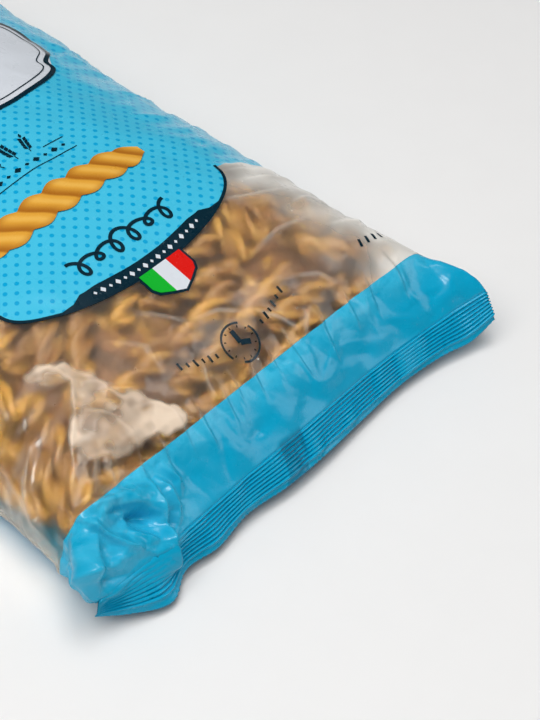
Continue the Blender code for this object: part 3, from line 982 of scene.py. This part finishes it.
def buildBadge():
    b = badge
    centre, top = printLayout["shieldCentre"] + b["shift"], printLayout["shieldFoot"] + b["up"]

    def outline(inset):
        half, depth = b["half"] - inset, b["depth"] - inset
        right = [(centre + half * x, top - depth * y) for x, y in b["side"]]
        return right + [(2 * centre - x, y) for x, y in right[-2::-1]]

    layMotif("print_badge_rim", [outline(0.0)], navyInk)
    third = (b["half"] - b["rim"]) * 2 / 3
    for k, (name, ink) in enumerate((("green", greenInk), ("white", whiteInk), ("red", redInk))):
        low, high = centre + (k - 1.5) * third, centre + (k - 0.5) * third
        layMotif("print_badge_" + name, [clipLoop(outline(b["rim"]), low, high)], ink, 2)


def clipLoop(loop, low, high):
    # keep the part of a loop between two values of s
    for bound, keep in ((low, 1), (high, -1)):
        out = []
        for (ax, ay), (bx, by) in zip(loop, loop[1:] + loop[:1]):
            inA, inB = (ax - bound) * keep >= -1e-9, (bx - bound) * keep >= -1e-9
            if inA:
                out.append((ax, ay))
            if inA != inB:
                t = (bound - ax) / (bx - ax)
                out.append((bound, ay + t * (by - ay)))
        loop = [p for k, p in enumerate(out) if math.dist(p, out[k - 1]) > 1e-5]
    return loop


# clock dial: its ring in two arcs, two hands, marks round it, and rows of short ticks beside it
timer = {"centre": (2.6, 45.6), "radius": 6.5, "stroke": 0.75, "arcs": ((55, 205), (238, 385)),
         "hands": ((90, 4.6, 1.7), (-25, 3.6, 1.9)), "dial": (4.9, 5.7), "dialStroke": 0.45,
         "tickRows": ((-7.5, -2.6), (13.5, 2.6)), "ticks": 6, "tickHalf": (0.8, 1.3), "tickStroke": 0.8,
         "bow": 0.010,   # the rows of ticks bend up by this much times the distance squared
         "bars": (63, 46.6), "barCount": 4, "barStep": 3.6, "barRun": (1.2, 3.0), "barStroke": 1.1}


def buildTimer():
    t = timer
    centre = t["centre"]
    quads = []
    for start, end in t["arcs"]:
        quads += strips(arc(centre, t["radius"], start, end), t["stroke"])
    for angle, length, width in t["hands"]:
        quads += strips([centre, ray(centre, length, angle)], width)
    for angle in range(0, 360, 30):
        quads += strips([ray(centre, k, angle) for k in t["dial"]], t["dialStroke"])
    layMotif("print_timer", quads, navyInk)
    marks = []
    for start, step in t["tickRows"]:
        for k in range(t["ticks"]):
            s = start + step * k
            l = centre[1] + t["bow"] * (s - centre[0]) ** 2
            half = t["tickHalf"][k % 2]
            marks += strips([(s, l - half), (s, l + half)], t["tickStroke"])
    layMotif("print_ticks", marks, navyInk)
    (s, l), (across, up) = t["bars"], t["barRun"]
    bars = []
    for k in range(t["barCount"]):
        left = s + t["barStep"] * k
        bars += strips([(left, l), (left + across, l + up)], t["barStroke"])
    layMotif("print_bars", bars, navyInk)


print("print: motifs")
buildShieldEdge()
buildBadge()
buildTimer()


# label: pale rounded plaque with a double outline, left bare
plaque = {"centreS": 1.0, "centreL": 196.0, "halfS": 61.0, "halfL": 32.0, "notch": 5.0, "notchAt": 0.42,
          "notchWide": 0.13, "roundS": 0.8, "roundL": 0.72, "rim": 1.7, "line": 0.45, "lineAt": 2.2,
          "points": 144}


def plaqueLoop(inset):
    # an oval with pinched sides, as old tin labels have
    p = plaque
    loop = []
    for k in range(p["points"]):
        a = 2 * math.pi * k / p["points"]
        ca, sa = math.cos(a), math.sin(a)
        s = (p["halfS"] - inset) * math.copysign(abs(ca) ** p["roundS"], ca)
        l = (p["halfL"] - inset) * math.copysign(abs(sa) ** p["roundL"], sa)
        pinch = p["notch"] * math.exp(-((abs(sa) - p["notchAt"]) / p["notchWide"]) ** 2)
        loop.append((p["centreS"] + s - math.copysign(pinch * abs(ca), ca), p["centreL"] + l))
    return loop


def ringBetween(outer, inner):
    return between(outer + outer[:1], inner + inner[:1])


def buildPlaque():
    p = plaque
    line = p["rim"] * p["lineAt"]
    layMotif("print_label", [plaqueLoop(p["rim"] * 0.5)], whiteInk)
    layMotif("print_label_rim", ringBetween(plaqueLoop(0), plaqueLoop(p["rim"])), navyInk, 2)
    layMotif("print_label_line", ringBetween(plaqueLoop(line), plaqueLoop(line + p["line"])), navyInk, 2)


buildPlaque()


# three wheat ears between two thin rules
# ears: place, tilt, size; rules: height, start and end from the middle; lozenges between them
wheat = {"centre": 1.0,
         "ears": ((0.0, 143.8, 0.0, 1.15), (-6.4, 143.6, -0.35, 0.95), (6.4, 143.6, 0.35, 0.95)),
         "grains": 4, "grainStep": 1.55, "stem": 1.6, "stroke": 0.35,
         "rules": ((141.3, 10.5, 19.5), (135.0, 0.0, 19.5)),
         "lozenges": 9, "lozengeL": 138.1, "lozengeStep": 4.1, "lozengeSizes": ((0.9, 0.7), (1.5, 1.15)),
         # outline of a grain, and of the top one: along the ear and out to the side
         "grain": ((0.0, 0.2), (0.5, 1.35), (1.9, 1.5), (1.4, 0.25)),
         "topAt": 6.4, "top": ((0.0, 0.0), (1.0, 0.6), (2.4, 0.0), (1.0, -0.6))}


def buildWheat():
    w = wheat
    quads = []
    for shift, l, tilt, size in w["ears"]:
        foot = Vector((w["centre"] + shift, l))
        way = Vector((math.sin(tilt), math.cos(tilt)))
        side = Vector((way.y, -way.x))

        def shape(base, outline, sign):
            return [tuple(base + (way * a + side * sign * b) * size) for a, b in outline]

        for k in range(w["grains"]):
            for sign in (-1, 1):
                quads.append(shape(foot + way * (k * w["grainStep"] * size), w["grain"], sign))
        quads.append(shape(foot + way * w["topAt"] * size, w["top"], 1))
        quads += strips([tuple(foot - way * w["stem"] * size), tuple(foot)], w["stroke"])
    for l, start, end in w["rules"]:
        for sign in (-1, 1):
            quads += strips([(w["centre"] + sign * start, l), (w["centre"] + sign * end, l)], w["stroke"])
    for k in range(w["lozenges"]):
        s, l = w["centre"] + (k - w["lozenges"] // 2) * w["lozengeStep"], w["lozengeL"]
        a, b = w["lozengeSizes"][k % 2]
        quads.append([(s - a, l), (s, l - b), (s + a, l), (s, l + b)])
    layMotif("print_wheat", quads, navyInk)


buildWheat()


# printed pasta spiral: outline of round lobes, shaded in its material
spiralPrint = {"centreS": -1.0, "centreL": 121.0, "half": 37.0, "radius": 6.4, "lobe": 10.7,
               "gold": srgb(222, 160, 56), "deep": srgb(170, 104, 26), "light": srgb(240, 190, 92),
               "lean": 0.40, "bend": 1.5, "fold": (0.0, 0.5), "foldEnd": (-1.0, -0.86), "stripe": 0.6,
               "stripeRange": (-0.24, -0.02), "stripeShare": 0.55, "rim": (0.55, 1.05), "rimShare": 0.6,
               # its outline: points, shift between the two edges, height between the lobes and at the tips
               "points": 120, "stagger": 0.42, "waist": 0.70, "tip": 0.35, "tipSlope": 5}


def goldColour(tree, crinkle):
    # lobes that turn from deep to gold, with a light stripe on each and a deeper rim
    p = spiralPrint
    s, l = filmPlace(tree)
    phase = mathNode(tree, "DIVIDE", mathNode(tree, "SUBTRACT", s, p["centreS"]), p["lobe"])
    height = mathNode(tree, "DIVIDE", mathNode(tree, "SUBTRACT", l, p["centreL"]), p["radius"])
    bend = times(tree, mathNode(tree, "SINE", times(tree, height, p["bend"])), p["lean"])
    saw = mathNode(tree, "FRACT", mathNode(tree, "ADD", mathNode(tree, "ADD", phase, 100.0), bend))
    fold = times(tree, ramp(tree, saw, *p["fold"]), ramp(tree, flip(tree, saw), *p["foldEnd"]))
    colour = mixColor(tree, fold, p["deep"], p["gold"])
    middle = mathNode(tree, "ABSOLUTE", mathNode(tree, "SUBTRACT", saw, p["stripe"]))
    glint = ramp(tree, flip(tree, middle), *p["stripeRange"])
    colour = mixColor(tree, times(tree, glint, p["stripeShare"]), colour, p["light"])
    rim = ramp(tree, mathNode(tree, "ABSOLUTE", height), *p["rim"])
    return mixColor(tree, times(tree, rim, p["rimShare"]), colour, p["deep"])


def buildSpiralPrint():
    p = spiralPrint

    def edge(sign):
        line = []
        for k in range(p["points"] + 1):
            t = k / p["points"]
            s = p["centreS"] + (2 * t - 1) * p["half"]
            swell = abs(math.sin(math.pi * ((s - p["centreS"]) / p["lobe"] + p["stagger"] * sign)))
            size = p["radius"] * (p["waist"] + (1 - p["waist"]) * swell)
            size *= min(1, p["tip"] + p["tipSlope"] * min(t, 1 - t))
            line.append((s, p["centreL"] + sign * size))
        return line

    layMotif("print_spiral", between(edge(-1), edge(1)), filmMaterial("goldPrint", goldColour, False), 2)


buildSpiralPrint()


flourish = {"centreS": 0.5, "centreL": 95.6, "half": 22.0, "height": 3.9, "swing": 2.9, "loops": 6,
            "stroke": 1.25, "points": 180}


def buildFlourish():
    # a plain scroll of loops
    p = flourish
    path = []
    for k in range(p["points"] + 1):
        t = k / p["points"]
        turn = t * p["loops"] * 2 * math.pi
        size = p["height"] * (0.72 + 0.28 * math.cos((t - 0.5) * math.pi * 4))
        path.append((p["centreS"] + (2 * t - 1) * p["half"] + p["swing"] * math.sin(turn),
                     p["centreL"] + size * math.cos(turn)))
    layMotif("print_flourish", strips(path, p["stroke"]), navyInk)


buildFlourish()


# pasta spirals under the window
spiral = {
    "length": (29, 38), "radius": 4.8, "pitch": 29.0, "heart": 0.34, "rings": 16, "endFall": 0.10,
    # one blade across the axis: share of its third of a turn, and height
    "bladeSection": ((0.0, 0.0), (0.16, 0.3), (0.32, 0.68), (0.48, 0.94), (0.62, 1.0), (0.74, 0.86),
                     (0.86, 0.34)),
    "colour": srgb(158, 117, 40), "deep": srgb(110, 72, 20), "clear": 4.95, "apart": 4.8,
    # layers under the film: least and most depth, tries, spirals at most
    "layers": ((5.0, 5.7, 16000, 125), (9.5, 11.0, 8000, 80), (14.5, 17.0, 3000, 50)),
    # where they are dropped, in film millimetres; on the right slope they lie deeper and are shorter
    "across": (-95, 92), "along": (30, 116), "deeper": 2.0, "deeperAcross": (50, 84),
    "shorter": 0.3, "shorterAcross": (20, 60), "lean": 0.14, "grow": (0.94, 1.04), "probes": 7, "seed": 41,
}
# the core's browns are darker than the spirals': painted shade of the filling deep in the gaps
core = {"rows": (48, 240), "rowStep": 8, "pointStep": 9, "inward": 18, "lump": 2.5, "least": 0.35,
        "deep": srgb(66, 40, 20), "colour": srgb(108, 70, 32)}
# waves to the metre and depth of the pasta's grain
pastaLook = {"patch": 70.0, "patchRange": (0.35, 0.68), "grain": 900.0, "bump": 0.4, "bumpDepth": 0.15,
             "roughness": 0.5, "inside": 0.25, "insideReach": (2.4, 1.2, 0.4)}


def spiralMesh(length, radius):
    # three broad blades wound round one axis, each steeper on one side
    p = spiral
    outline = []
    for blade in range(3):
        for turn, rise in p["bladeSection"]:
            outline.append((radius * (p["heart"] + (1 - p["heart"]) * rise),
                            (blade + turn) * 2 * math.pi / 3))
    verts, faces = [], []
    for k in range(p["rings"] + 1):
        t = k / p["rings"]
        x = (t - 0.5) * length
        twist = 2 * math.pi * x / p["pitch"]
        grow = 1 - p["endFall"] * abs(2 * t - 1) ** 6
        for r, a in outline:
            verts.append((x, r * grow * math.cos(a + twist), r * grow * math.sin(a + twist)))
    n = len(outline)
    for k in range(p["rings"]):
        for j in range(n):
            i = (j + 1) % n
            faces.append((k * n + j, k * n + i, (k + 1) * n + i, (k + 1) * n + j))
    faces.append(tuple(range(n))[::-1])
    faces.append(tuple(p["rings"] * n + j for j in range(n)))
    return np.array(verts), faces


def objectNoise(tree, scale, detail):
    coords = tree.nodes.new("ShaderNodeTexCoord")
    noise = tree.nodes.new("ShaderNodeTexNoise")
    noise.inputs["Scale"].default_value = scale
    noise.inputs["Detail"].default_value = detail
    tree.links.new(coords.outputs["Object"], noise.inputs["Vector"])
    return noise.outputs["Fac"]


def pastaMaterial(name, look):
    p = pastaLook
    material, tree, output = newMaterial(name)
    shader = tree.nodes.new("ShaderNodeBsdfPrincipled")
    patch, grain = objectNoise(tree, p["patch"], 3.0), objectNoise(tree, p["grain"], 4.0)
    tree.links.new(mixColor(tree, ramp(tree, patch, *p["patchRange"]), look["deep"], look["colour"]),
                   shader.inputs["Base Color"])
    bump = tree.nodes.new("ShaderNodeBump")
    bump.inputs["Strength"].default_value = p["bump"]
    bump.inputs["Distance"].default_value = p["bumpDepth"] * mm
    tree.links.new(grain, bump.inputs["Height"])
    tree.links.new(bump.outputs[0], shader.inputs["Normal"])
    shader.inputs["Roughness"].default_value = p["roughness"]
    shader.inputs["Subsurface Weight"].default_value = p["inside"]
    shader.inputs["Subsurface Radius"].default_value = p["insideReach"]
    shader.inputs["Subsurface Scale"].default_value = mm
    tree.links.new(shader.outputs[0], output.inputs["Surface"])
    return material


def buildPasta():
    # drop seeded spirals layer by layer, each clear of the film and of its neighbours
    p = spiral
    dice = random.Random(p["seed"])
    skin = filmPoints[::3, ::3].reshape(-1, 3)
    skinNormal = filmNormals[::3, ::3].reshape(-1, 3)
    tree = KDTree(len(skin))
    for k, v in enumerate(skin):
        tree.insert(v, k)
    tree.balance()

    def clearOfFilm(point):
        k, away = tree.find(point)[1:]
        return away > p["clear"] and float(np.dot(np.asarray(point) - skin[k], skinNormal[k])) < 0

    placed, allVerts, allFaces, base = np.zeros((0, 3)), [], [], 0
    total = 0
    for near, deep, tries, most in p["layers"]:
        made = 0
        for _ in range(tries):
            if made >= most:
                break
            s, l = dice.uniform(*p["across"]), dice.uniform(*p["along"])
            gap = dice.uniform(near, deep) + p["deeper"] * float(ease(s, *p["deeperAcross"]))
            length = dice.uniform(*p["length"]) * (1 - p["shorter"] * float(ease(s, *p["shorterAcross"])))
            heading, lean = dice.uniform(0, math.pi), dice.uniform(-p["lean"], p["lean"])
            spin = dice.uniform(0, 6.28)
            surface, inside = onFilm(s, l)[0], onFilm(s, l, -gap)[0]
            normal = Vector(surface - inside).normalized()
            axis = Matrix.Rotation(heading, 3, normal) @ normal.orthogonal().normalized()
            axis = (axis + normal * lean).normalized()
            samples = np.array([inside + np.array(axis) * (length / 2 - 1.5) * k
                                for k in np.linspace(-1, 1, p["probes"])])
            apart = np.linalg.norm(samples[:, None] - placed[None], axis=-1)
            if len(placed) and np.min(apart) < p["apart"]:
                continue
            if not all(clearOfFilm(v) for v in samples):
                continue
            placed = np.concatenate([placed, samples])
            verts, faces = spiralMesh(length, p["radius"] * dice.uniform(*p["grow"]))
            turn = axis.to_track_quat("X", "Z").to_matrix() @ Matrix.Rotation(spin, 3, "X")
            allVerts.append(verts @ np.array(turn).T + inside)
            allFaces += [tuple(v + base for v in f) for f in faces]
            base += len(verts)
            made += 1
        total += made
    print("pasta: spirals", total)
    dress(addMesh("pasta_spirals", np.concatenate(allVerts), allFaces, pastaMaterial("dryPasta", p)))


def buildCore():
    # the unseen rest of the filling: one lumpy body well inside the film, in darker browns that paint the shade
    # where it shows between the pieces
    c = core
    rows = [k for k in range(0, len(filmRows), c["rowStep"]) if c["rows"][0] < filmRows[k] < c["rows"][1]]
    columns = list(range(0, filmPoints.shape[1], c["pointStep"]))
    points = []
    for r in rows:
        ring = filmPoints[r, columns]
        middle = ring.mean(0)
        inward = c["inward"] + c["lump"] * np.sin(np.arange(len(columns)) * 2.3 + r * 0.7)
        offset = ring - middle
        reach = np.linalg.norm(offset, axis=1, keepdims=True)
        shrink = np.maximum(reach - inward[:, None], reach * c["least"]) / reach
        points.append(middle + offset * shrink)
    n = len(columns)
    faces = [(a * n + b, a * n + (b + 1) % n, (a + 1) * n + (b + 1) % n, (a + 1) * n + b)
             for a in range(len(rows) - 1) for b in range(n)]
    faces += [tuple(range(n))[::-1], tuple((len(rows) - 1) * n + b for b in range(n))]
    dress(addMesh("pasta_core", np.concatenate(points), faces, pastaMaterial("shadedDeepPasta", c)))


buildPasta()
buildCore()


# floor, light and camera
stageLook = {
    "floor": srgb(240, 239, 238), "floorHalf": 1.6, "grain": 60.0, "world": 0.27, "worldInGloss": 0.03,
    # place, size, power, whether it lights the scene, whether the film mirrors it
    "lamps": {
        "ceiling": ((-0.46, -0.18, 1.10), 1.0, 9.9, True, False),     # broad soft light from the left
        "softbox": ((0.06, -0.04, 0.9), 0.30, 1.9, True, True),       # bright spots on the slack film
        "bandPanel": ((0.70, -0.36, 0.95), 0.24, 1.0, False, True),   # sheen where the band turns down
        "frontPanel": ((0.75, -0.75, 0.5), 0.5, 2.2, False, True),    # sheen low on the band
        "leftPanel": ((-0.50, -0.20, 0.9), 0.30, 5.6, False, True),   # bright facets of the near corner
    },
}
shot = {"azimuth": -51.29, "elevation": 44.04, "roll": 2.92, "distance": 0.7965, "lens": 128.6,
        "target": (8.55 * mm, (25.15 + packShift) * mm, 30 * mm)}


def buildStage():
    half = stageLook["floorHalf"] / mm
    corners = [(-half, -half, 0), (half, -half, 0), (half, half, 0), (-half, half, 0)]
    floor = addMesh("floor", corners, [(0, 1, 2, 3)], floorMaterial(), smooth=False)
    world = bpy.data.worlds.new("studio")
    scene.world = world
    world.use_nodes = True
    tree = world.node_tree
    backdrop = tree.nodes["Background"]
    backdrop.inputs[0].default_value = (1, 1, 1, 1)
    path = tree.nodes.new("ShaderNodeLightPath")
    gap = stageLook["world"] - stageLook["worldInGloss"]
    dim = times(tree, path.outputs["Is Glossy Ray"], gap)
    tree.links.new(mathNode(tree, "SUBTRACT", stageLook["world"], dim), backdrop.inputs[1])
    for name, (place, size, power, lights, mirrored) in stageLook["lamps"].items():
        light = bpy.data.lights.new(name, "AREA")
        light.shape, light.size, light.energy = "SQUARE", size, power
        lamp = bpy.data.objects.new(name, light)
        lamp.location = place
        lamp.visible_diffuse, lamp.visible_glossy = lights, mirrored
        lamp.rotation_euler = (Vector((0, 0, 0.02)) - Vector(place)).to_track_quat("-Z", "Y").to_euler()
        scene.collection.objects.link(lamp)


def floorMaterial():
    material, tree, output = newMaterial("paleTable")
    shader = tree.nodes.new("ShaderNodeBsdfPrincipled")
    base = stageLook["floor"]
    darker = tuple(c * 0.99 for c in base[:3]) + (1,)
    grain = ramp(tree, objectNoise(tree, stageLook["grain"], 2.0), 0.2, 0.8)
    tree.links.new(mixColor(tree, grain, base, darker), shader.inputs["Base Color"])
    shader.inputs["Roughness"].default_value = 0.7
    shader.inputs["Specular IOR Level"].default_value = 0.1
    tree.links.new(shader.outputs[0], output.inputs["Surface"])
    return material


def placeCamera():
    az, el, roll = (math.radians(shot[k]) for k in ("azimuth", "elevation", "roll"))
    back = Vector((math.sin(az) * math.cos(el), -math.cos(az) * math.cos(el), math.sin(el)))
    right = Vector((0, 0, 1)).cross(back).normalized()
    up = back.cross(right)
    right, up = (math.cos(roll) * right + math.sin(roll) * up,
                 math.cos(roll) * up - math.sin(roll) * right)
    data = bpy.data.cameras.new("camera")
    data.lens, data.sensor_width = shot["lens"], 36.0
    camera = bpy.data.objects.new("camera", data)
    place = Vector(shot["target"]) + back * shot["distance"]
    camera.matrix_world = Matrix.Translation(place) @ Matrix((right, up, back)).transposed().to_4x4()
    scene.collection.objects.link(camera)
    scene.camera = camera


buildStage()
placeCamera()
scene.view_settings.view_transform = "Standard"
scene.view_settings.look = "None"
print("stage: set")
